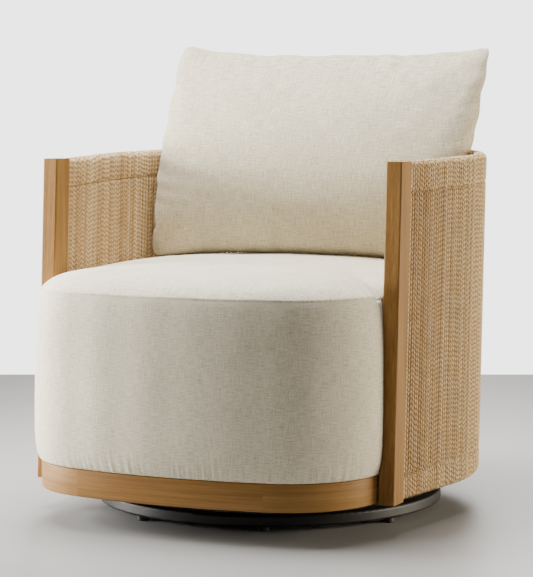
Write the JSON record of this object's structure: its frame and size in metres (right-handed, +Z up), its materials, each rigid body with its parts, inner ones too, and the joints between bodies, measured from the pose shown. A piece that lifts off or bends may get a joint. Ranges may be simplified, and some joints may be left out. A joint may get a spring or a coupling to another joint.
{
  "type": "swivel rocker chair",
  "caption": "Round swivel rocker: wood front posts, a cord-wrapped barrel back, an upholstered drum seat on a wood plinth, a loose back cushion and a low black turning base",
  "frame": {"origin": "On the floor, on the swivel axis, which is the middle of the chair seen from above", "axes": "+Z up, +Y to the back of the chair, +X to the sitter's left as they sit facing -Y"},
  "size_m": [0.738, 0.8593, 0.8326],
  "materials": {
    "black_painted_steel": "satin black powder coat",
    "black_plastic": "matt",
    "plain_steel": "zinc plated",
    "bearing_steel": "polished",
    "spring_steel": "oiled dark",
    "bushing_plastic": "smooth",
    "oak": "warm honey stain, satin lacquer",
    "frame_wood": "unfinished",
    "natural_cord": "twisted, matt",
    "oatmeal_linen": "woven, matt",
    "seat_foam": "open-cell foam",
    "wadding": "fibre wadding",
    "dust_cloth": "thin black non-woven"
  },
  "bodies": {
    "base": {"base_ring": "black_painted_steel", "base_glides": "black_plastic", "base_cross_bar": "black_painted_steel", "base_cross_bar_halves": "black_painted_steel", "hub_plate": "black_painted_steel", "lower_bearing_race": "plain_steel", "lower_race_screws": "plain_steel", "king_bolt": "plain_steel", "king_nut": "plain_steel", "king_washer": "plain_steel"},
    "ball_cage": {"ball_cage": "plain_steel", "bearing_balls": "bearing_steel"},
    "carriage": {"upper_bearing_race": "plain_steel", "upper_race_screws": "plain_steel", "carriage_plate": "black_painted_steel", "king_bushing": "bushing_plastic", "rocker_bracket_right": "black_painted_steel", "rocker_bracket_left": "black_painted_steel", "rock_pin_right": "plain_steel", "rock_pin_left": "plain_steel", "lower_spring_cups": "plain_steel", "rock_spring_front_left": "spring_steel", "rock_spring_front_right": "spring_steel", "rock_spring_rear_left": "spring_steel", "rock_spring_rear_right": "spring_steel"},
    "seat": {"hanger_right": "black_painted_steel", "hanger_left": "black_painted_steel", "hanger_bushing_right": "bushing_plastic", "hanger_bushing_left": "bushing_plastic", "upper_spring_cups": "plain_steel", "top_plate": "black_painted_steel", "plate_bolts": "plain_steel", "cross_rail_front": "frame_wood", "cross_rail_rear": "frame_wood", "plinth": "oak", "drum_wall": "frame_wood", "corner_blocks": "frame_wood", "deck_frame": "frame_wood", "deck_springs": "spring_steel", "spring_clips": "plain_steel", "seat_foam": "seat_foam", "side_padding": "wadding", "rim_padding": "wadding", "seat_cover": "oatmeal_linen", "dust_cover": "dust_cloth", "front_post_right": "oak", "front_post_left": "oak", "post_dowels": "frame_wood", "top_rail": "frame_wood", "bottom_rail": "frame_wood", "frame_uprights": "frame_wood", "frame_bolts": "plain_steel", "frame_spacers": "plain_steel", "cord_wrap_right": "natural_cord", "cord_wrap_left": "natural_cord", "cord_wrap_back": "natural_cord"},
    "back_cushion": {"back_cushion_cover": "oatmeal_linen", "back_cushion_fill": "wadding"}
  },
  "joints": [
    {"name": "swivel", "type": "hinge", "parent": "base", "child": "carriage", "pos_m": [0, 0, 0.045], "axis": [0, 0, 1], "continuous": true},
    {"name": "cage_roll", "type": "hinge", "parent": "base", "child": "ball_cage", "pos_m": [0, 0, 0.0425], "axis": [0, 0, 1], "continuous": true},
    {"name": "rock", "type": "hinge", "parent": "carriage", "child": "seat", "pos_m": [0, 0, 0.11], "axis": [1, 0, 0], "range_deg": [-4, 4], "stiffness_Nm_per_rad": 700, "deforming": ["rock_spring_front_left", "rock_spring_front_right", "rock_spring_rear_left", "rock_spring_rear_right"]},
    {"name": "cushion_lift", "type": "slide", "parent": "seat", "child": "back_cushion", "axis": [0, 0, 1], "range_m": [0, 0.25]}
  ],
  "couplings": [
    {"joint": "cage_roll", "follows": "swivel", "ratio": 0.5}
  ]
}
